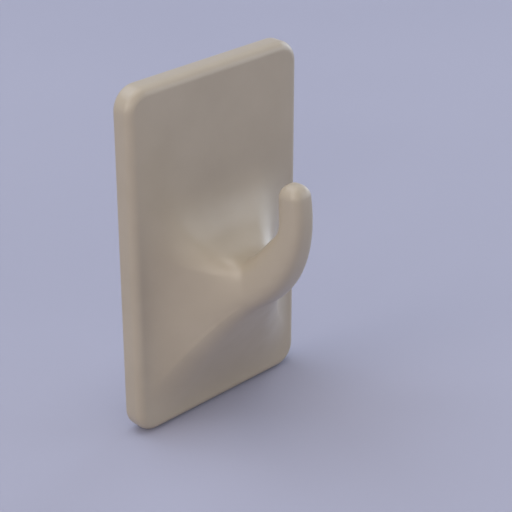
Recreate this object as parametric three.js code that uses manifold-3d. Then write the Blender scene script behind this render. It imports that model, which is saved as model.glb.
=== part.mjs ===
// Slide-on towel hook for a smooth wall: a moulded hook that drops over a small base,
// and a stretch-release foam strip that holds the base to the wall.
// Millimetres. +Z is up, the wall is the plane y = 0 and the front faces -Y.
// A depth is measured from the wall towards the room, so depth d lies at y = -d.

import * as THREE from 'three';
import { mergeVertices } from 'three/addons/utils/BufferGeometryUtils.js';
import Module from 'manifold-3d';

const wasm = await Module();
wasm.setup();

// Foam strip
const STRIP_WIDTH = 22;
const SKIN_THICKNESS = 0.2; // each adhesive layer, and the film of the pull tab
const FOAM_THICKNESS = 0.7;
const STRIP_MARGIN = 3; // base left bare above and below the adhesive
const TAB_LENGTH = 11; // foam that hangs below the adhesive
const TAB_CAP = 1; // film folded under the end of the foam
const TAB_CORNER = 4;

// Base that the strip holds
const BASE_WIDTH = 36;
const BASE_HEIGHT = 58;
const BASE_THICKNESS = 2.4;
const BASE_CORNER = 3;
const FLANGE_WIDTH = 3.5; // how far each flange stands out beyond the pad
const FLANGE_THICKNESS = 1.4;

// Plate of the hook
const PLATE_WIDTH = 54;
const PLATE_HEIGHT = 90;
const PLATE_CORNER = 5.8;
const FRONT_EDGE = 2.2; // radius round the front
const BACK_EDGE = 1.5; // radius round the rim at the wall
const WALL_GAP = 0.4; // rim to wall
const SIDE_WALL = 2.4;
const FRONT_WALL = 2;

// Ribs and rails on the back of the plate
const RUNNING_CLEARANCE = 0.3; // every sliding face
const LIP_SETBACK = 0.1; // lips and rails lie this far inside the rim
const RAIL_WALL = 2;
const STOP_WALL = 2;
const RIB_WALL = 1.6;
const RIB_HEIGHT = 0.8; // bearing ribs above the floor of the plate
const RIB_SPACING = 17.6;
const LIP_START = 2.6; // lips begin this far above the floor of the slot

// Prong, on an axis that leaves the plate at a slope and bends upwards
const ROOT_HEIGHT = 29.3; // axis at the plate's front, above the bottom edge
const RAMP_ANGLE = 35.5;
const RAMP_LENGTH = 16.9;
const BEND_RADIUS = 28;
const END_ANGLE = 94.7;
const TIP_STRAIGHT = 0.5;
const ROOT_HALF_WIDTH = 13.2;
const ROOT_HALF_DEPTH = 7.85;
const TIP_HALF_WIDTH = 3.2;
const TIP_HALF_DEPTH = 3.45;
const WIDTH_TAPER = 1.94; // exponent of the narrowing from root to tip, 1 is even
const SEAT_TRIM = 0.8; // taken off the seat side at the root
const SQUARENESS = 3; // exponent of the rounded-square section, 2 is an ellipse
const CROOK_DEPTH = 1.55; // how much the inside of the bend is drawn in
const CROOK_PLACE = 37.3; // along the axis
const CROOK_LENGTH = 4.5;

// Flare that spreads the prong's root over the plate
const FLARE_REACH = 18.9; // along the axis, where the prong keeps its own section
const FLARE_LEAN = 3.4; // the flare runs further out on the seat than beneath
const FLARE_MARGIN = 0.2; // flat border left inside the front edge
const FLARE_DROP = 28; // foot of the flare below the top edge
const FLARE_CORNER = 9;
const FOOT_PULL = 0.5; // how long the surface hugs the plate
const NECK_PULL = 0.25; // how long it hugs the prong

// Hollow behind the root
const CORE_INSET = 5; // inside the foot of the flare
const CORE_WALL = 2.4;
const CORE_REACH = 14; // along the axis

// Facets
const CORNER_STEPS = 3; // per half corner
const SIDE_STEPS = 8;
const EDGE_STEPS = 4;
const FLARE_STEPS = 10;
const PRONG_STEPS = 14;
const TIP_STEPS = 5;
const ARC_STEPS = 5; // per quarter round of a flat outline

// Depths of the stack, from the wall outwards
const foamBack = SKIN_THICKNESS;
const foamFront = foamBack + FOAM_THICKNESS;
const baseBack = foamFront + SKIN_THICKNESS;
const baseFront = baseBack + BASE_THICKNESS;
const flangeBack = baseFront - FLANGE_THICKNESS;
const ribBack = baseFront + RUNNING_CLEARANCE;
const plateFloor = ribBack + RIB_HEIGHT;
const plateFront = plateFloor + FRONT_WALL;
const lipBack = WALL_GAP + LIP_SETBACK;
const lipFront = flangeBack - RUNNING_CLEARANCE;

// Heights and half widths
const plateTop = PLATE_HEIGHT / 2;
const plateBottom = -PLATE_HEIGHT / 2;
const slotFloor = plateBottom + SIDE_WALL;
const baseTop = BASE_HEIGHT / 2;
const adhesiveTop = baseTop - STRIP_MARGIN;
const adhesiveBottom = -adhesiveTop;
const foamBottom = adhesiveBottom - TAB_LENGTH;
const tabBottom = foamBottom - TAB_CAP;
const tabTop = adhesiveBottom - RUNNING_CLEARANCE;
const stopBottom = baseTop + RUNNING_CLEARANCE;
const stopTop = stopBottom + STOP_WALL;
const stripHalf = STRIP_WIDTH / 2;
const baseHalf = BASE_WIDTH / 2;
const padHalf = baseHalf - FLANGE_WIDTH;
const railInner = baseHalf + RUNNING_CLEARANCE;
const railOuter = railInner + RAIL_WALL;
const lipInner = padHalf + RUNNING_CLEARANCE;
const rootZ = plateBottom + ROOT_HEIGHT;
const flareHalf = PLATE_WIDTH / 2 - FRONT_EDGE - FLARE_MARGIN;
const flareTop = plateTop - FLARE_DROP;
const flareBottom = plateBottom + FRONT_EDGE + FLARE_MARGIN;
const rampAngle = THREE.MathUtils.degToRad(RAMP_ANGLE);
const endAngle = THREE.MathUtils.degToRad(END_ANGLE);
const bendLength = BEND_RADIUS * (endAngle - rampAngle);
const axisLength = RAMP_LENGTH + bendLength + TIP_STRAIGHT;

// Tools of the solids
const OVERCUT = 1; // a cutter runs this far past the face that it opens
const WELD = 1e-5; // points nearer than this are one point

// Closed geometry to a solid, and back
function solid(geometry) {
  geometry.deleteAttribute('normal');
  geometry.deleteAttribute('uv');
  const merged = mergeVertices(geometry, WELD);
  const vertProperties = new Float32Array(merged.attributes.position.array);
  const triVerts = new Uint32Array(merged.index.array);
  return new wasm.Manifold(new wasm.Mesh({ numProp: 3, vertProperties, triVerts }));
}

function geometryOf(body) {
  const mesh = body.getMesh();
  const geometry = new THREE.BufferGeometry();
  geometry.setAttribute('position', new THREE.BufferAttribute(new Float32Array(mesh.vertProperties), 3));
  geometry.setIndex(new THREE.BufferAttribute(new Uint32Array(mesh.triVerts), 1));
  return geometry;
}

// A block between two values of x, two depths and two heights
function block(x0, x1, depth0, depth1, z0, z1) {
  const geometry = new THREE.BoxGeometry(x1 - x0, depth1 - depth0, z1 - z0);
  geometry.translate((x0 + x1) / 2, -(depth0 + depth1) / 2, (z0 + z1) / 2);
  return solid(geometry);
}

// Two such blocks, one to each side of the middle
function pair(inner, outer, depth0, depth1, z0, z1) {
  const left = block(-outer, -inner, depth0, depth1, z0, z1);
  return left.add(block(inner, outer, depth0, depth1, z0, z1));
}

// A rounded rectangle seen from the front, as a slab between two depths
function slab(half, bottom, top, radius, depth0, depth1) {
  const shape = new THREE.Shape();
  shape.absarc(half - radius, top - radius, radius, 0, Math.PI / 2);
  shape.absarc(radius - half, top - radius, radius, Math.PI / 2, Math.PI);
  shape.absarc(radius - half, bottom + radius, radius, Math.PI, Math.PI * 1.5);
  shape.absarc(half - radius, bottom + radius, radius, Math.PI * 1.5, Math.PI * 2);
  const options = { depth: depth1 - depth0, bevelEnabled: false, curveSegments: ARC_STEPS };
  const geometry = new THREE.ExtrudeGeometry(shape, options);
  geometry.rotateX(Math.PI / 2);
  geometry.translate(0, -depth0, 0);
  return solid(geometry);
}

// Every ring of the lofts has its points at the same places: four sides, each a straight
// stretch between two half corners. A place is the side, the stretch and how far along it.
const ringPlaces = [];
for (let side = 0; side < 4; side += 1) {
  for (let step = 0; step < CORNER_STEPS; step += 1) {
    ringPlaces.push({ side, stretch: 'first corner', along: step / CORNER_STEPS });
  }
  for (let step = 0; step < SIDE_STEPS; step += 1) {
    ringPlaces.push({ side, stretch: 'straight', along: step / SIDE_STEPS });
  }
  for (let step = 0; step < CORNER_STEPS; step += 1) {
    ringPlaces.push({ side, stretch: 'second corner', along: step / CORNER_STEPS });
  }
}

// Rounded rectangle as [x, z] points. The straight sides face +x, +z, -x and -z in turn.
function rectangleRing(half, bottom, top, radius) {
  const centre = (bottom + top) / 2;
  const halfHeight = (top - bottom) / 2;
  return ringPlaces.map(({ side, stretch, along }) => {
    const out = side % 2 === 0 ? half : halfHeight;
    const run = (side % 2 === 0 ? halfHeight : half) - radius;
    let turn = 0;
    let across = run * (2 * along - 1);
    if (stretch === 'first corner') {
      turn = (Math.PI / 4) * (along - 1);
      across = -run;
    }
    if (stretch === 'second corner') {
      turn = (Math.PI / 4) * along;
      across = run;
    }
    const point = new THREE.Vector2(out - radius + radius * Math.cos(turn), across + radius * Math.sin(turn));
    point.rotateAround(new THREE.Vector2(), (Math.PI / 2) * side);
    return [point.x, centre + point.y];
  });
}

// Section of the prong as [across, through] points within -1 to 1, at the same places.
const CORNER_SHARE = 0.45; // share of an eighth turn that a half corner takes
const sectionRing = ringPlaces.map(({ side, stretch, along }) => {
  let share = (1 - CORNER_SHARE) * (2 * along - 1);
  if (stretch === 'first corner') {
    share = CORNER_SHARE * along - 1;
  }
  if (stretch === 'second corner') {
    share = 1 - CORNER_SHARE + CORNER_SHARE * along;
  }
  const angle = (Math.PI / 2) * side + (Math.PI / 4) * share;
  const squared = (value) => Math.sign(value) * Math.abs(value) ** (2 / SQUARENESS);
  return [squared(Math.cos(angle)), squared(Math.sin(angle))];
});

// Point and heading on the prong's axis, in the plane x = 0. "out" is from the plate's front.
function axisAt(length) {
  const ramp = Math.min(length, RAMP_LENGTH);
  const bend = Math.min(Math.max(length - RAMP_LENGTH, 0), bendLength);
  const straight = Math.max(length - RAMP_LENGTH - bendLength, 0);
  const heading = rampAngle + bend / BEND_RADIUS;
  const arcOut = BEND_RADIUS * (Math.sin(heading) - Math.sin(rampAngle));
  const arcUp = BEND_RADIUS * (Math.cos(rampAngle) - Math.cos(heading));
  return {
    out: ramp * Math.cos(rampAngle) + arcOut + straight * Math.cos(heading),
    z: rootZ + ramp * Math.sin(rampAngle) + arcUp + straight * Math.sin(heading),
    heading,
  };
}

// Ring of the prong as [x, out, z] points. It may lean, lie inside the surface by a wall,
// or be shrunk and pushed on to round the tip.
function prongRing(length, { lean = 0, wall = 0, scale = 1, push = 0 } = {}) {
  return sectionRing.map(([across, through]) => {
    const place = length + lean * through;
    const { out, z, heading } = axisAt(place);
    const left = Math.max(1 - place / axisLength, 0);
    const halfWidth = THREE.MathUtils.lerp(TIP_HALF_WIDTH, ROOT_HALF_WIDTH, left ** WIDTH_TAPER) - wall;
    const halfDepth = THREE.MathUtils.lerp(TIP_HALF_DEPTH, ROOT_HALF_DEPTH, left) - wall;
    const crook = CROOK_DEPTH * Math.exp(-(((place - CROOK_PLACE) / CROOK_LENGTH) ** 2));
    const trim = crook + SEAT_TRIM * left;
    const offset = scale * (through * halfDepth - Math.max(through, 0) * trim);
    return [
      across * halfWidth * scale,
      out + push * Math.cos(heading) - offset * Math.sin(heading),
      z + push * Math.sin(heading) + offset * Math.cos(heading),
    ];
  });
}

// Rings that sweep from a foot outline on a plane to the prong. Each point follows a curve that
// leaves the plane flat and arrives along the prong's own surface.
const TRACE = 0.05; // step along the prong that gives its surface's direction
function flareRings(foot, floor, length, options) {
  const neck = prongRing(length, options).map((point) => new THREE.Vector3(...point));
  const ahead = prongRing(length + TRACE, options).map((point) => new THREE.Vector3(...point));
  const curves = foot.map(([x, z], index) => {
    const start = new THREE.Vector3(x, floor, z);
    const slope = ahead[index].clone().sub(neck[index]);
    const root = neck[index].clone().addScaledVector(slope, (floor - neck[index].y) / slope.y);
    const leave = start.clone().lerp(root, FOOT_PULL);
    const arrive = neck[index].clone().lerp(root, NECK_PULL);
    return new THREE.CubicBezierCurve3(start, leave, arrive, neck[index]);
  });
  const rings = [];
  for (let step = 0; step <= FLARE_STEPS; step += 1) {
    rings.push(curves.map((curve) => curve.getPoint(step / FLARE_STEPS).toArray()));
  }
  return rings;
}

// Closed loft through rings of [x, out, z] points
function loft(rings) {
  const count = ringPlaces.length;
  const centre = (ring) => [0, 1, 2].map((axis) => ring.reduce((sum, point) => sum + point[axis], 0) / count);
  const points = [...rings.flat(), centre(rings[0]), centre(rings[rings.length - 1])];
  const positions = points.flatMap(([x, out, z]) => [x, -(plateFront + out), z]);
  const index = [];
  const backCentre = points.length - 2;
  const frontCentre = points.length - 1;
  const lastRow = (rings.length - 1) * count;
  for (let place = 0; place < count; place += 1) {
    const next = (place + 1) % count;
    for (let row = 0; row < lastRow; row += count) {
      index.push(row + place, row + next, row + count + next);
      index.push(row + place, row + count + next, row + count + place);
    }
    index.push(backCentre, next, place);
    index.push(frontCentre, lastRow + place, lastRow + next);
  }
  const geometry = new THREE.BufferGeometry();
  geometry.setAttribute('position', new THREE.Float32BufferAttribute(positions, 3));
  geometry.setIndex(index);
  return solid(geometry);
}

// Outline of the plate, drawn in by an inset, at a depth
const LEAST_RADIUS = 0.2; // a corner never closes to a point
function plateRing(inset, depth) {
  const radius = Math.max(PLATE_CORNER - inset, LEAST_RADIUS);
  const ring = rectangleRing(PLATE_WIDTH / 2 - inset, plateBottom + inset, plateTop - inset, radius);
  return ring.map(([x, z]) => [x, depth - plateFront, z]);
}

// Outer form of the hook, from the rim at the wall to the round tip
function hookForm() {
  const rings = [];
  for (let step = 0; step <= EDGE_STEPS; step += 1) {
    const turn = ((Math.PI / 2) * step) / EDGE_STEPS;
    rings.push(plateRing(BACK_EDGE * (1 - Math.sin(turn)), WALL_GAP + BACK_EDGE * (1 - Math.cos(turn))));
  }
  for (let step = 0; step <= EDGE_STEPS; step += 1) {
    const turn = ((Math.PI / 2) * step) / EDGE_STEPS;
    rings.push(plateRing(FRONT_EDGE * (1 - Math.cos(turn)), plateFront - FRONT_EDGE * (1 - Math.sin(turn))));
  }
  const foot = rectangleRing(flareHalf, flareBottom, flareTop, FLARE_CORNER);
  rings.push(...flareRings(foot, 0, FLARE_REACH, { lean: FLARE_LEAN }));
  for (let step = 1; step <= PRONG_STEPS; step += 1) {
    const share = step / PRONG_STEPS;
    const length = THREE.MathUtils.lerp(FLARE_REACH, axisLength, share);
    rings.push(prongRing(length, { lean: FLARE_LEAN * (1 - share) }));
  }
  for (let step = 1; step <= TIP_STEPS; step += 1) {
    const turn = ((Math.PI / 2) * step) / (TIP_STEPS + 1);
    rings.push(prongRing(axisLength, { scale: Math.cos(turn), push: TIP_HALF_DEPTH * Math.sin(turn) }));
  }
  return loft(rings);
}

// Hollow behind the root, open to the back of the plate
function rootCore() {
  const half = flareHalf - CORE_INSET;
  const radius = FLARE_CORNER - CORE_INSET;
  const foot = rectangleRing(half, flareBottom + CORE_INSET, flareTop - CORE_INSET, radius);
  const mouth = foot.map(([x, z]) => [x, -FRONT_WALL - OVERCUT, z]);
  return loft([mouth, ...flareRings(foot, -FRONT_WALL, CORE_REACH, { wall: CORE_WALL })]);
}

// Rails, lips, stop and bearing ribs that hold the hook on its base
function guides() {
  const deep = plateFront + CORE_REACH;
  const rails = pair(railInner, railOuter, lipBack, deep, plateBottom, stopTop);
  const lips = pair(lipInner, railOuter, lipBack, lipFront, slotFloor + LIP_START, stopTop);
  const ribInner = (RIB_SPACING - RIB_WALL) / 2;
  const ribs = pair(ribInner, ribInner + RIB_WALL, ribBack, deep, plateBottom, stopTop);
  const stop = block(-railOuter, railOuter, lipBack, deep, stopBottom, stopTop);
  return rails.add(lips).add(ribs).add(stop);
}

function hookShell() {
  const innerHalf = PLATE_WIDTH / 2 - SIDE_WALL;
  const innerTop = plateTop - SIDE_WALL;
  const innerCorner = Math.max(PLATE_CORNER - SIDE_WALL, LEAST_RADIUS);
  const cavity = slab(innerHalf, slotFloor, innerTop, innerCorner, WALL_GAP - OVERCUT, plateFloor);
  const hollow = cavity.add(rootCore()).subtract(guides());
  const slotBottom = plateBottom - OVERCUT;
  const slot = block(-railInner, railInner, WALL_GAP - OVERCUT, ribBack, slotBottom, slotFloor + LIP_START);
  return hookForm().subtract(hollow).subtract(slot);
}

// Base: a pad with a flange along each side, its corners rounded to lead into the rails
function mountingBase() {
  const profile = new THREE.Shape();
  profile.moveTo(-padHalf, -baseBack);
  profile.lineTo(padHalf, -baseBack);
  profile.lineTo(padHalf, -flangeBack);
  profile.lineTo(baseHalf, -flangeBack);
  profile.lineTo(baseHalf, -baseFront);
  profile.lineTo(-baseHalf, -baseFront);
  profile.lineTo(-baseHalf, -flangeBack);
  profile.lineTo(-padHalf, -flangeBack);
  profile.closePath();
  const geometry = new THREE.ExtrudeGeometry(profile, { depth: BASE_HEIGHT, bevelEnabled: false });
  geometry.translate(0, 0, -baseTop);
  const depth0 = baseBack - OVERCUT;
  const depth1 = baseFront + OVERCUT;
  return solid(geometry).intersect(slab(baseHalf, -baseTop, baseTop, BASE_CORNER, depth0, depth1));
}

function adhesive(depth) {
  return block(-stripHalf, stripHalf, depth, depth + SKIN_THICKNESS, adhesiveBottom, adhesiveTop);
}

// Outline of the strip, whose free end is rounded
function stripOutline() {
  const top = adhesiveTop + TAB_CORNER + OVERCUT;
  return slab(stripHalf, tabBottom, top, TAB_CORNER, -OVERCUT, baseBack + OVERCUT);
}

function stripFoam() {
  const strip = block(-stripHalf, stripHalf, foamBack, foamFront, foamBottom, adhesiveTop);
  return strip.intersect(stripOutline());
}

// Film folded round the free end of the foam
function pullTab() {
  const fold = block(-stripHalf, stripHalf, 0, baseBack, tabBottom, tabTop);
  const gapHalf = stripHalf + OVERCUT;
  const gap = block(-gapHalf, gapHalf, foamBack, foamFront, foamBottom, tabTop + OVERCUT);
  return fold.intersect(stripOutline()).subtract(gap);
}

const hookPlastic = new THREE.MeshStandardMaterial({ color: '#ac9e8e', roughness: 0.4, metalness: 0 });
const basePlastic = new THREE.MeshStandardMaterial({ color: '#d9d5cc', roughness: 0.5, metalness: 0 });
const foamWhite = new THREE.MeshStandardMaterial({ color: '#e8e6e0', roughness: 0.9, metalness: 0 });
const glueClear = new THREE.MeshStandardMaterial({ color: '#d8d3c2', roughness: 0.3, metalness: 0 });
const filmWhite = new THREE.MeshStandardMaterial({ color: '#f2f1ee', roughness: 0.35, metalness: 0 });

function piece(name, body, material) {
  const mesh = new THREE.Mesh(geometryOf(body), material);
  mesh.name = name;
  return mesh;
}

const base = new THREE.Group();
base.add(piece('mounting_base', mountingBase(), basePlastic));
base.add(piece('base_adhesive', adhesive(foamFront), glueClear));
base.add(piece('strip_foam', stripFoam(), foamWhite));
base.add(piece('wall_adhesive', adhesive(0), glueClear));
base.add(piece('pull_tab', pullTab(), filmWhite));

const towelHook = new THREE.Group();
towelHook.add(base);
towelHook.add(piece('hook_shell', hookShell(), hookPlastic));

export default towelHook;
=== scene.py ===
"""Looks of a slide-on towel hook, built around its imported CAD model.

Metres, in the CAD frame: +Z is up, the wall is the plane y = 0 and the front faces -Y.
A depth is measured from the wall towards the room, so depth d lies at y = -d.
"""

import math

import bmesh
import bpy
import numpy as np
from mathutils import Matrix, Vector


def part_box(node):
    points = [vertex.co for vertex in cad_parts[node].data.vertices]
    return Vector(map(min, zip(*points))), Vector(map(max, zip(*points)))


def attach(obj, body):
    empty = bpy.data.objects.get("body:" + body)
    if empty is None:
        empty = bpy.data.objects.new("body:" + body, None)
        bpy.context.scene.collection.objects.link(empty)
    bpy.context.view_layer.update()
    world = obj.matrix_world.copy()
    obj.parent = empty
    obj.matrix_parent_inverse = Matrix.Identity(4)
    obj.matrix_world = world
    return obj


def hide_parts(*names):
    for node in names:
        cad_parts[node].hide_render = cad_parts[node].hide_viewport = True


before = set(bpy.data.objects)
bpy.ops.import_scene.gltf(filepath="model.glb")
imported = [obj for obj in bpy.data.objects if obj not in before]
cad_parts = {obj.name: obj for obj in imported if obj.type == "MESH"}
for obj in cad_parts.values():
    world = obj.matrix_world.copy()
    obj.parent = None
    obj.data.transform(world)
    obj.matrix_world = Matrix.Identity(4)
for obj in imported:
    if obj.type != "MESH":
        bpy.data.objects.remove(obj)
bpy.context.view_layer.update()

MM = 0.001
QUARTER = math.pi / 2

# Sizes that the frame gives
hook_low, hook_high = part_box("hook_shell")
base_low, base_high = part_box("mounting_base")
_, glue_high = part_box("wall_adhesive")
foam_low, foam_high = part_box("strip_foam")
tab_low, tab_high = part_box("pull_tab")
plate_half = hook_high.x
plate_top = hook_high.z
plate_bottom = hook_low.z
wall_gap = -hook_high.y
base_half = base_high.x
base_top = base_high.z
base_back = -base_high.y
base_front = -base_low.y
strip_half = glue_high.x
foam_back = -foam_high.y
foam_front = -foam_low.y

# Plate of the hook, as in the CAD model
PLATE_CORNER = 5.8 * MM
FRONT_EDGE = 2.2 * MM
BACK_EDGE = 1.5 * MM
SIDE_WALL = 2.4 * MM
FRONT_WALL = 2 * MM
CLEARANCE = 0.3 * MM
FLANGE_WIDTH = 3.5 * MM
FLANGE_THICKNESS = 1.4 * MM
BASE_CORNER = 3 * MM
LIP_SETBACK = 0.1 * MM
RAIL_WALL = 2 * MM
STOP_WALL = 2 * MM
RIB_WALL = 1.6 * MM
RIB_HEIGHT = 0.8 * MM
RIB_SPACING = 17.6 * MM
LIP_START = 2.6 * MM

# Prong and flare, as in the CAD model
ROOT_HEIGHT = 29.3 * MM
RAMP_ANGLE = math.radians(35.5)
RAMP_LENGTH = 16.9 * MM
BEND_RADIUS = 28 * MM
END_ANGLE = math.radians(94.7)
TIP_STRAIGHT = 0.5 * MM
ROOT_HALF_WIDTH = 13.2 * MM
ROOT_HALF_DEPTH = 7.85 * MM
TIP_HALF_WIDTH = 3.2 * MM
TIP_HALF_DEPTH = 3.45 * MM
WIDTH_TAPER = 1.94
SEAT_TRIM = 0.8 * MM
SQUARENESS = 3
CROOK_DEPTH = 1.55 * MM
CROOK_PLACE = 37.3 * MM
CROOK_LENGTH = 4.5 * MM
FLARE_REACH = 18.9 * MM
FLARE_LEAN = 3.4 * MM
FLARE_MARGIN = 0.2 * MM
FLARE_DROP = 28 * MM
FLARE_CORNER = 9 * MM
FOOT_PULL = 0.5
NECK_PULL = 0.25
CORE_INSET = 5 * MM
CORE_WALL = 2.4 * MM
CORE_REACH = 14 * MM
TAB_CORNER = 4 * MM

# Small radii that only the looks have
FLOOR_FILLET = 0.6 * MM
RIB_EDGE = 0.25 * MM
BASE_EDGE = 0.35 * MM
FOAM_BULGE = 0.12 * MM
FILM_FOLD = 0.4 * MM

# Smoothness
CORNER_STEPS = 6
SIDE_STEPS = 16
EDGE_STEPS = 8
FLARE_STEPS = 28
PRONG_STEPS = 40
TIP_STEPS = 10
BEVEL_STEPS = 3
ROUND_PROFILE = 0.5
OVERCUT = 1 * MM
SHARP_ANGLE = math.radians(32)

# Depths and heights worked out from these
flange_back = base_front - FLANGE_THICKNESS
rib_back = base_front + CLEARANCE
plate_floor = rib_back + RIB_HEIGHT
plate_front = plate_floor + FRONT_WALL
lip_back = wall_gap + LIP_SETBACK
lip_front = flange_back - CLEARANCE
slot_floor = plate_bottom + SIDE_WALL
lip_bottom = slot_floor + LIP_START
stop_bottom = base_top + CLEARANCE
stop_top = stop_bottom + STOP_WALL
pad_half = base_half - FLANGE_WIDTH
rail_inner = base_half + CLEARANCE
rail_outer = rail_inner + RAIL_WALL
lip_inner = pad_half + CLEARANCE
root_z = plate_bottom + ROOT_HEIGHT
flare_half = plate_half - FRONT_EDGE - FLARE_MARGIN
flare_top = plate_top - FLARE_DROP
flare_bottom = plate_bottom + FRONT_EDGE + FLARE_MARGIN
bend_length = BEND_RADIUS * (END_ANGLE - RAMP_ANGLE)
axis_length = RAMP_LENGTH + bend_length + TIP_STRAIGHT


def ring_places():
    """Side, turn and run of each point of a ring: a corner turns, a straight stretch runs from -1 to 1."""
    places = []
    for side in range(4):
        for step in range(CORNER_STEPS):
            places.append((side, QUARTER / 2 * (step / CORNER_STEPS - 1), -1))
        for step in range(SIDE_STEPS):
            places.append((side, 0, 2 * step / SIDE_STEPS - 1))
        for step in range(CORNER_STEPS):
            places.append((side, QUARTER / 2 * step / CORNER_STEPS, 1))
    return np.array(places, float).T


SIDE, TURN, RUN = ring_places()


def rectangle_ring(half, bottom, top, radius):
    """x and z of a rounded rectangle seen from the front."""
    half_height = (top - bottom) / 2
    upright = SIDE % 2 == 0
    out = np.where(upright, half, half_height) - radius + radius * np.cos(TURN)
    run = np.where(upright, half_height, half) - radius
    across = run * RUN + radius * np.sin(TURN)
    angle = QUARTER * SIDE
    x = out * np.cos(angle) - across * np.sin(angle)
    z = out * np.sin(angle) + across * np.cos(angle)
    return x, z + (bottom + top) / 2


CORNER_SHARE = 0.45


def section_ring():
    """Across and through of the prong's rounded-square section, within -1 to 1."""
    share = (1 - CORNER_SHARE) * RUN + CORNER_SHARE * TURN / (QUARTER / 2)
    angle = QUARTER * SIDE + QUARTER / 2 * share
    cosine = np.cos(angle)
    sine = np.sin(angle)
    power = 2 / SQUARENESS
    return np.sign(cosine) * np.abs(cosine) ** power, np.sign(sine) * np.abs(sine) ** power


ACROSS, THROUGH = section_ring()


def axis_at(length):
    """How far out of the plate, how high and at what heading the prong's axis is, at lengths along it."""
    ramp = np.minimum(length, RAMP_LENGTH)
    bend = np.clip(length - RAMP_LENGTH, 0, bend_length)
    straight = np.maximum(length - RAMP_LENGTH - bend_length, 0)
    heading = RAMP_ANGLE + bend / BEND_RADIUS
    arc_out = BEND_RADIUS * (np.sin(heading) - math.sin(RAMP_ANGLE))
    arc_up = BEND_RADIUS * (math.cos(RAMP_ANGLE) - np.cos(heading))
    out = ramp * math.cos(RAMP_ANGLE) + arc_out + straight * np.cos(heading)
    up = ramp * math.sin(RAMP_ANGLE) + arc_up + straight * np.sin(heading)
    return out, root_z + up, heading


def prong_ring(length, lean=0.0, wall=0.0, scale=1.0, push=0.0):
    """Points (x, out, z) round the prong. The ring may lean, lie inside the surface or round the tip."""
    place = length + lean * THROUGH
    out, up, heading = axis_at(place)
    left = np.maximum(1 - place / axis_length, 0)
    half_width = TIP_HALF_WIDTH + (ROOT_HALF_WIDTH - TIP_HALF_WIDTH) * left**WIDTH_TAPER - wall
    half_depth = TIP_HALF_DEPTH + (ROOT_HALF_DEPTH - TIP_HALF_DEPTH) * left - wall
    crook = CROOK_DEPTH * np.exp(-(((place - CROOK_PLACE) / CROOK_LENGTH) ** 2))
    offset = scale * (THROUGH * half_depth - np.maximum(THROUGH, 0) * (crook + SEAT_TRIM * left))
    x = ACROSS * half_width * scale
    y = out + push * np.cos(heading) - offset * np.sin(heading)
    z = up + push * np.sin(heading) + offset * np.cos(heading)
    return np.stack([x, y, z], axis=1)


TRACE = 0.05 * MM


def flare_rings(foot, floor, length, **options):
    """Rings that leave a plane flat and arrive along the prong's own surface."""
    neck = prong_ring(length, **options)
    slope = prong_ring(length + TRACE, **options) - neck
    root = neck + slope * ((floor - neck[:, 1]) / slope[:, 1])[:, None]
    start = np.stack([foot[0], np.full_like(foot[0], floor), foot[1]], axis=1)
    leave = start + (root - start) * FOOT_PULL
    arrive = neck + (root - neck) * NECK_PULL
    rings = []
    for step in range(FLARE_STEPS + 1):
        t = step / FLARE_STEPS
        s = 1 - t
        rings.append(s**3 * start + 3 * s * s * t * leave + 3 * s * t * t * arrive + t**3 * neck)
    return rings


def level_ring(half, bottom, top, radius, depth):
    """A rounded rectangle at one depth, as (x, out, z) points."""
    x, z = rectangle_ring(half, bottom, top, radius)
    return np.stack([x, np.full_like(x, depth - plate_front), z], axis=1)


LEAST_RADIUS = 0.2 * MM


def inset_ring(half, bottom, top, radius, inset, depth):
    return level_ring(half - inset, bottom + inset, top - inset, max(radius - inset, LEAST_RADIUS), depth)


def loft(name, rings):
    """A closed mesh through rings of (x, out, z) points."""
    count = len(SIDE)
    centres = [rings[0].mean(axis=0), rings[-1].mean(axis=0)]
    points = np.concatenate([*rings, centres])
    points[:, 1] = -(plate_front + points[:, 1])
    back_centre = len(points) - 2
    front_centre = len(points) - 1
    last = (len(rings) - 1) * count
    faces = []
    for place in range(count):
        after = (place + 1) % count
        for row in range(0, last, count):
            faces.append((row + place, row + after, row + count + after, row + count + place))
        faces.append((back_centre, after, place))
        faces.append((front_centre, last + place, last + after))
    return new_object(name, points.tolist(), faces)


def new_object(name, points, faces):
    mesh = bpy.data.meshes.new(name)
    mesh.from_pydata(points, [], faces)
    shape = bmesh.new()
    shape.from_mesh(mesh)
    bmesh.ops.recalc_face_normals(shape, faces=shape.faces)
    shape.to_mesh(mesh)
    shape.free()
    made = bpy.data.objects.new(name, mesh)
    bpy.context.scene.collection.objects.link(made)
    return made


def block(name, x0, x1, depth0, depth1, z0, z1, edge=0.0):
    """A block between two values of x, two depths and two heights, with rounded edges if asked."""
    mesh = bpy.data.meshes.new(name)
    shape = bmesh.new()
    bmesh.ops.create_cube(shape, size=1)
    size = (x1 - x0, depth1 - depth0, z1 - z0)
    middle = ((x0 + x1) / 2, -(depth0 + depth1) / 2, (z0 + z1) / 2)
    bmesh.ops.scale(shape, vec=size, verts=shape.verts)
    bmesh.ops.translate(shape, vec=middle, verts=shape.verts)
    if edge:
        bmesh.ops.bevel(
            shape, geom=shape.edges[:], affect="EDGES",
            offset=edge, segments=BEVEL_STEPS, profile=ROUND_PROFILE,
        )
    shape.to_mesh(mesh)
    shape.free()
    made = bpy.data.objects.new(name, mesh)
    bpy.context.scene.collection.objects.link(made)
    return made


def pair(name, inner, outer, depth0, depth1, z0, z1, edge=0.0):
    """Two blocks, one to each side of the middle."""
    return [
        block(name, inner, outer, depth0, depth1, z0, z1, edge),
        block(name, -outer, -inner, depth0, depth1, z0, z1, edge),
    ]


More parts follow.
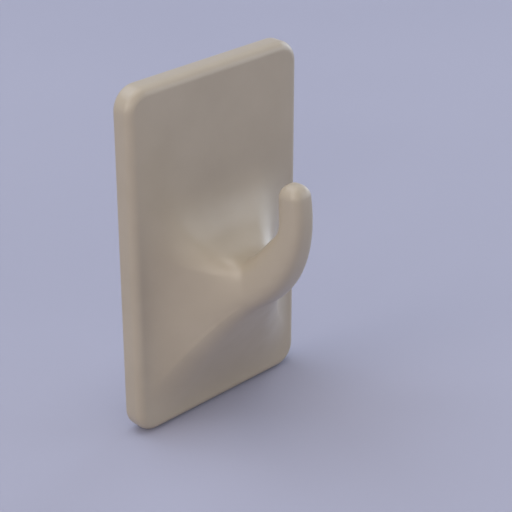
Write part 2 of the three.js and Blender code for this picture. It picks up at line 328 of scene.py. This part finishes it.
def slab_rings(half, bottom, top, radius, depth0, depth1, back_edge=0.0, front_edge=0.0):
    """Rings of a rounded rectangle between two depths, with a quarter round at either face if asked."""
    turns = [QUARTER * step / EDGE_STEPS for step in range(EDGE_STEPS + 1)]
    rings = []
    for turn in turns if back_edge else turns[-1:]:
        inset = back_edge * (1 - math.sin(turn))
        depth = depth0 + back_edge * (1 - math.cos(turn))
        rings.append(inset_ring(half, bottom, top, radius, inset, depth))
    for turn in turns if front_edge else turns[-1:]:
        inset = front_edge * (1 - math.cos(turn))
        depth = depth1 - front_edge * (1 - math.sin(turn))
        rings.append(inset_ring(half, bottom, top, radius, inset, depth))
    return rings


def slab(name, *sizes, **edges):
    return loft(name, slab_rings(*sizes, **edges))


def combine(target, operation, *tools):
    """Joins, cuts or intersects target with each tool in turn, and removes the tools."""
    for tool in tools:
        modifier = target.modifiers.new("combine", "BOOLEAN")
        modifier.operation = operation
        modifier.solver = "MANIFOLD"
        modifier.object = tool
        evaluated = target.evaluated_get(bpy.context.evaluated_depsgraph_get())
        made = bpy.data.meshes.new_from_object(evaluated)
        target.modifiers.clear()
        target.data = made
        bpy.data.objects.remove(tool)
    return target


def smooth(piece):
    piece.data.shade_smooth()
    piece.data.set_sharp_from_angle(angle=SHARP_ANGLE)
    return piece


# Hook

def hook_form():
    """Outer form of the hook, from the rim at the wall to the round tip."""
    rings = slab_rings(
        plate_half, plate_bottom, plate_top, PLATE_CORNER,
        wall_gap, plate_front, BACK_EDGE, FRONT_EDGE,
    )
    foot = rectangle_ring(flare_half, flare_bottom, flare_top, FLARE_CORNER)
    rings.extend(flare_rings(foot, 0, FLARE_REACH, lean=FLARE_LEAN))
    for step in range(1, PRONG_STEPS + 1):
        share = step / PRONG_STEPS
        length = FLARE_REACH + (axis_length - FLARE_REACH) * share
        rings.append(prong_ring(length, lean=FLARE_LEAN * (1 - share)))
    for step in range(1, TIP_STEPS + 1):
        turn = QUARTER * step / (TIP_STEPS + 1)
        rings.append(prong_ring(axis_length, scale=math.cos(turn), push=TIP_HALF_DEPTH * math.sin(turn)))
    return loft("hook", rings)


def root_core():
    """Hollow behind the root, open to the back of the plate."""
    half = flare_half - CORE_INSET
    corner = FLARE_CORNER - CORE_INSET
    foot = rectangle_ring(half, flare_bottom + CORE_INSET, flare_top - CORE_INSET, corner)
    rings = flare_rings(foot, -FRONT_WALL, CORE_REACH, wall=CORE_WALL)
    mouth = rings[0] - np.array([0, OVERCUT, 0])
    return loft("core", [mouth, *rings])


def guides():
    """Rails, lips, bearing ribs and stop that hold the hook on its base."""
    deep = plate_front + CORE_REACH
    rib_inner = (RIB_SPACING - RIB_WALL) / 2
    return [
        *pair("rail", rail_inner, rail_outer, lip_back, deep, plate_bottom, stop_top, RIB_EDGE),
        *pair("lip", lip_inner, rail_outer, lip_back, lip_front, lip_bottom, stop_top, RIB_EDGE),
        *pair("rib", rib_inner, rib_inner + RIB_WALL, rib_back, deep, plate_bottom, stop_top, RIB_EDGE),
        block("stop", -rail_outer, rail_outer, lip_back, deep, stop_bottom, stop_top, RIB_EDGE),
    ]


def hook_shell():
    inner_half = plate_half - SIDE_WALL
    inner_top = plate_top - SIDE_WALL
    inner_corner = PLATE_CORNER - SIDE_WALL
    cavity = slab(
        "cavity", inner_half, slot_floor, inner_top, inner_corner,
        wall_gap - OVERCUT, plate_floor, front_edge=FLOOR_FILLET,
    )
    combine(cavity, "UNION", root_core())
    combine(cavity, "DIFFERENCE", *guides())
    slot = block(
        "slot", -rail_inner, rail_inner, wall_gap - OVERCUT, rib_back,
        plate_bottom - OVERCUT, lip_bottom,
    )
    return smooth(combine(hook_form(), "DIFFERENCE", cavity, slot))


# Base and strip

def mounting_base():
    flange = slab(
        "base_plate", base_half, -base_top, base_top, BASE_CORNER,
        flange_back, base_front, BASE_EDGE, BASE_EDGE,
    )
    pad = slab(
        "pad", pad_half, -base_top, base_top, BASE_EDGE,
        base_back, flange_back + BASE_EDGE, BASE_EDGE,
    )
    return smooth(combine(flange, "UNION", pad))


def strip_outline(name, depth0, depth1, bottom, top, edge=0.0):
    """The strip between two depths and two heights: square above, rounded at the free end."""
    above = top + TAB_CORNER + OVERCUT
    strip = slab(name, strip_half, tab_low.z, above, TAB_CORNER, depth0, depth1, edge, edge)
    beyond = strip_half + OVERCUT
    keep = block("keep", -beyond, beyond, depth0 - OVERCUT, depth1 + OVERCUT, bottom, top)
    return combine(strip, "INTERSECT", keep)


def strip_foam():
    return smooth(strip_outline("foam", foam_back, foam_front, foam_low.z, foam_high.z, FOAM_BULGE))


def pull_tab():
    fold = strip_outline("tab", 0, base_back, tab_low.z, tab_high.z, FILM_FOLD)
    beyond = strip_half + OVERCUT
    gap = block("gap", -beyond, beyond, foam_back, foam_front, foam_low.z, tab_high.z + OVERCUT)
    return smooth(combine(fold, "DIFFERENCE", gap))


# Materials

CLOUD_SIZE = 14 * MM
GRAIN_SIZE = 0.22 * MM
GRAIN_DEPTH = 0.006 * MM
PLASTIC_SHEEN = 5 * MM
FOAM_CELL = 0.35 * MM
FOAM_DEPTH = 0.08 * MM
FOAM_ROUGHNESS = 0.9
GLUE_MOTTLE = 5 * MM
GLUE_SHEEN = 1.2 * MM
GLUE_RIPPLE = 1.5 * MM
GLUE_DEPTH = 0.012 * MM
FILM_MOTTLE = 6 * MM
FILM_SHEEN = 2 * MM
FILM_RIPPLE = 4 * MM
FILM_DEPTH = 0.02 * MM
NOISE_LOW = 0.3
NOISE_HIGH = 0.7


def linear(red, green, blue):
    """An sRGB colour, 0 to 255, as a linear one with alpha."""
    shares = [value / 255 for value in (red, green, blue)]
    return [*(s / 12.92 if s <= 0.04045 else ((s + 0.055) / 1.055) ** 2.4 for s in shares), 1.0]


def new_material(name):
    """A material, with its node tree, its shader and places in the CAD frame."""
    material = bpy.data.materials.new(name)
    material.use_nodes = True
    tree = material.node_tree
    shader = tree.nodes["Principled BSDF"]
    place = tree.nodes.new("ShaderNodeTexCoord").outputs["Object"]
    return material, tree, shader, place


def noise(tree, place, size, detail):
    """Soft spots about size across, from 0 to 1."""
    node = tree.nodes.new("ShaderNodeTexNoise")
    node.inputs["Scale"].default_value = 1 / size
    node.inputs["Detail"].default_value = detail
    tree.links.new(place, node.inputs["Vector"])
    return node.outputs["Fac"]


def cells(tree, place, size):
    """Distance to the middle of the nearest cell, for cells about size across."""
    node = tree.nodes.new("ShaderNodeTexVoronoi")
    node.inputs["Scale"].default_value = 1 / size
    tree.links.new(place, node.inputs["Vector"])
    return node.outputs["Distance"]


def spread(tree, value, low, high):
    """Maps a value from the range that most of a noise lies in to low and high."""
    node = tree.nodes.new("ShaderNodeMapRange")
    node.inputs["From Min"].default_value = NOISE_LOW
    node.inputs["From Max"].default_value = NOISE_HIGH
    node.inputs["To Min"].default_value = low
    node.inputs["To Max"].default_value = high
    tree.links.new(value, node.inputs["Value"])
    return node.outputs["Result"]


def vary_colour(tree, shader, value, dark, light):
    node = tree.nodes.new("ShaderNodeMix")
    node.data_type = "RGBA"
    node.inputs["A"].default_value = dark
    node.inputs["B"].default_value = light
    tree.links.new(spread(tree, value, 0, 1), node.inputs["Factor"])
    tree.links.new(node.outputs["Result"], shader.inputs["Base Color"])


def vary_roughness(tree, shader, value, low, high):
    tree.links.new(spread(tree, value, low, high), shader.inputs["Roughness"])


def emboss(tree, shader, height, depth):
    node = tree.nodes.new("ShaderNodeBump")
    node.inputs["Distance"].default_value = depth
    tree.links.new(height, node.inputs["Height"])
    tree.links.new(node.outputs["Normal"], shader.inputs["Normal"])


def plastic(name, dark, light, smoothest, roughest):
    """Moulded plastic: a slightly cloudy tone and the fine matt grain of an etched mould."""
    material, tree, shader, place = new_material(name)
    cloud = noise(tree, place, CLOUD_SIZE, detail=3)
    vary_colour(tree, shader, cloud, dark, light)
    sheen = noise(tree, place, PLASTIC_SHEEN, detail=4)
    vary_roughness(tree, shader, sheen, smoothest, roughest)
    emboss(tree, shader, noise(tree, place, GRAIN_SIZE, detail=2), GRAIN_DEPTH)
    return material


def foam():
    material, tree, shader, place = new_material("strip_foam")
    cell = cells(tree, place, FOAM_CELL)
    vary_colour(tree, shader, cell, linear(222, 220, 213), linear(240, 238, 233))
    shader.inputs["Roughness"].default_value = FOAM_ROUGHNESS
    emboss(tree, shader, cell, FOAM_DEPTH)
    return material


def glue():
    material, tree, shader, place = new_material("strip_adhesive")
    mottle = noise(tree, place, GLUE_MOTTLE, detail=3)
    vary_colour(tree, shader, mottle, linear(214, 208, 191), linear(219, 214, 197))
    vary_roughness(tree, shader, noise(tree, place, GLUE_SHEEN, detail=3), 0.22, 0.4)
    emboss(tree, shader, noise(tree, place, GLUE_RIPPLE, detail=2), GLUE_DEPTH)
    return material


def film():
    material, tree, shader, place = new_material("tab_film")
    mottle = noise(tree, place, FILM_MOTTLE, detail=3)
    vary_colour(tree, shader, mottle, linear(238, 237, 233), linear(246, 245, 243))
    vary_roughness(tree, shader, noise(tree, place, FILM_SHEEN, detail=3), 0.28, 0.4)
    emboss(tree, shader, noise(tree, place, FILM_RIPPLE, detail=1), FILM_DEPTH)
    return material


def paint(piece, material):
    piece.data.materials.clear()
    piece.data.materials.append(material)


# Pieces on their bodies

def dress(piece, node, body, material):
    """A new piece that stands for a CAD node, rides on its body and wears a material."""
    piece.name = node + "_look"
    paint(piece, material)
    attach(piece, body)
    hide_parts(node)
    return piece


hook_plastic = plastic("hook_plastic", linear(169, 157, 140), linear(175, 163, 146), 0.3, 0.4)
base_plastic = plastic("base_plastic", linear(212, 208, 199), linear(220, 216, 207), 0.42, 0.55)
dress(hook_shell(), "hook_shell", "hook", hook_plastic)
dress(mounting_base(), "mounting_base", "base", base_plastic)
dress(strip_foam(), "strip_foam", "base", foam())
dress(pull_tab(), "pull_tab", "base", film())
adhesive = glue()
for node in ("wall_adhesive", "base_adhesive"):
    paint(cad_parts[node], adhesive)

# Floor

FLOOR_HALF = 1.2
FLOOR_GAP = 0.1 * MM
FLOOR_MOTTLE = 200 * MM
FLOOR_ROUGHNESS = 0.8


def floor():
    z = plate_bottom - FLOOR_GAP
    corners = [(-1, -1), (1, -1), (1, 1), (-1, 1)]
    points = [(x * FLOOR_HALF, y * FLOOR_HALF, z) for x, y in corners]
    made = new_object("floor", points, [(0, 1, 2, 3)])
    material, tree, shader, place = new_material("floor")
    mottle = noise(tree, place, FLOOR_MOTTLE, detail=2)
    vary_colour(tree, shader, mottle, linear(162, 162, 182), linear(166, 166, 186))
    shader.inputs["Roughness"].default_value = FLOOR_ROUGHNESS
    paint(made, material)


floor()

# Camera at the photograph's angle

AZIMUTH = math.radians(-44.65)
ELEVATION = math.radians(27)
SENSOR = 36.0
NEAR_CLIP = 10 * MM
IMAGE_SIDE = 512
FOCAL_PIXELS = 1585
DISTANCE = 387.1 * MM
SHIFT_RIGHT = 11.14 * MM
SHIFT_UP = -4.9 * MM


def camera():
    back = Vector((
        math.sin(AZIMUTH) * math.cos(ELEVATION),
        -math.cos(AZIMUTH) * math.cos(ELEVATION),
        math.sin(ELEVATION),
    ))
    right = Vector((math.cos(AZIMUTH), math.sin(AZIMUTH), 0))
    up = back.cross(right)
    target = Vector((0, -(wall_gap + plate_front) / 2, 0)) + right * SHIFT_RIGHT + up * SHIFT_UP
    lens = bpy.data.cameras.new("camera")
    lens.sensor_width = SENSOR
    lens.lens = SENSOR * FOCAL_PIXELS / IMAGE_SIDE
    lens.clip_start = NEAR_CLIP
    made = bpy.data.objects.new("camera", lens)
    bpy.context.scene.collection.objects.link(made)
    turn = Matrix((right, up, back)).transposed().to_4x4()
    made.matrix_world = Matrix.Translation(target + back * DISTANCE) @ turn
    bpy.context.scene.camera = made


camera()

# Light

LAMP_DISTANCE = 1.8
LAMP_SIZE = 1.1
WARM = (1, 0.94, 0.87)
WHITE = (1, 0.98, 0.96)
COOL = (0.77, 0.87, 1)
GLOW_STRENGTH = 0.17
BACKDROP = linear(206, 208, 226)


def softbox(name, azimuth, elevation, power, colour):
    """A square lamp that faces the hook, at degrees to the right of its front and above the floor."""
    turn = math.radians(azimuth)
    rise = math.radians(elevation)
    away = Vector((math.sin(turn) * math.cos(rise), -math.cos(turn) * math.cos(rise), math.sin(rise)))
    lamp = bpy.data.lights.new(name, "AREA")
    lamp.size = LAMP_SIZE
    lamp.energy = power
    lamp.color = colour
    made = bpy.data.objects.new(name, lamp)
    made.location = away * LAMP_DISTANCE
    made.rotation_euler = away.to_track_quat("Z", "Y").to_euler()
    bpy.context.scene.collection.objects.link(made)


def surroundings():
    """Weak even light from all around. The camera and reflections see a pale backdrop instead."""
    world = bpy.data.worlds.new("surroundings")
    world.use_nodes = True
    tree = world.node_tree
    glow = tree.nodes["Background"]
    glow.inputs["Color"].default_value = (1, 1, 1, 1)
    glow.inputs["Strength"].default_value = GLOW_STRENGTH
    backdrop = tree.nodes.new("ShaderNodeBackground")
    backdrop.inputs["Color"].default_value = BACKDROP
    path = tree.nodes.new("ShaderNodeLightPath")
    shown = glow.outputs["Background"]
    for ray in ("Is Camera Ray", "Is Glossy Ray"):
        choice = tree.nodes.new("ShaderNodeMixShader")
        tree.links.new(path.outputs[ray], choice.inputs["Fac"])
        tree.links.new(shown, choice.inputs[1])
        tree.links.new(backdrop.outputs["Background"], choice.inputs[2])
        shown = choice.outputs["Shader"]
    tree.links.new(shown, tree.nodes["World Output"].inputs["Surface"])
    bpy.context.scene.world = world


softbox("left", 270, 20, 9, WARM)
softbox("left_high", 270, 50, 4, WHITE)
softbox("left_front", 315, 20, 6.5, WARM)
softbox("front", 0, 20, 3, WARM)
softbox("right_front", 55, 14, 8.5, COOL)
softbox("right", 92, 14, 11, COOL)
softbox("right_high", 90, 50, 1.5, COOL)
softbox("back", 180, 50, 6.5, COOL)
softbox("left_back", 225, 55, 6.5, COOL)
softbox("top", 0, 90, 9, WHITE)
surroundings()
bpy.context.scene.view_settings.view_transform = "Standard"
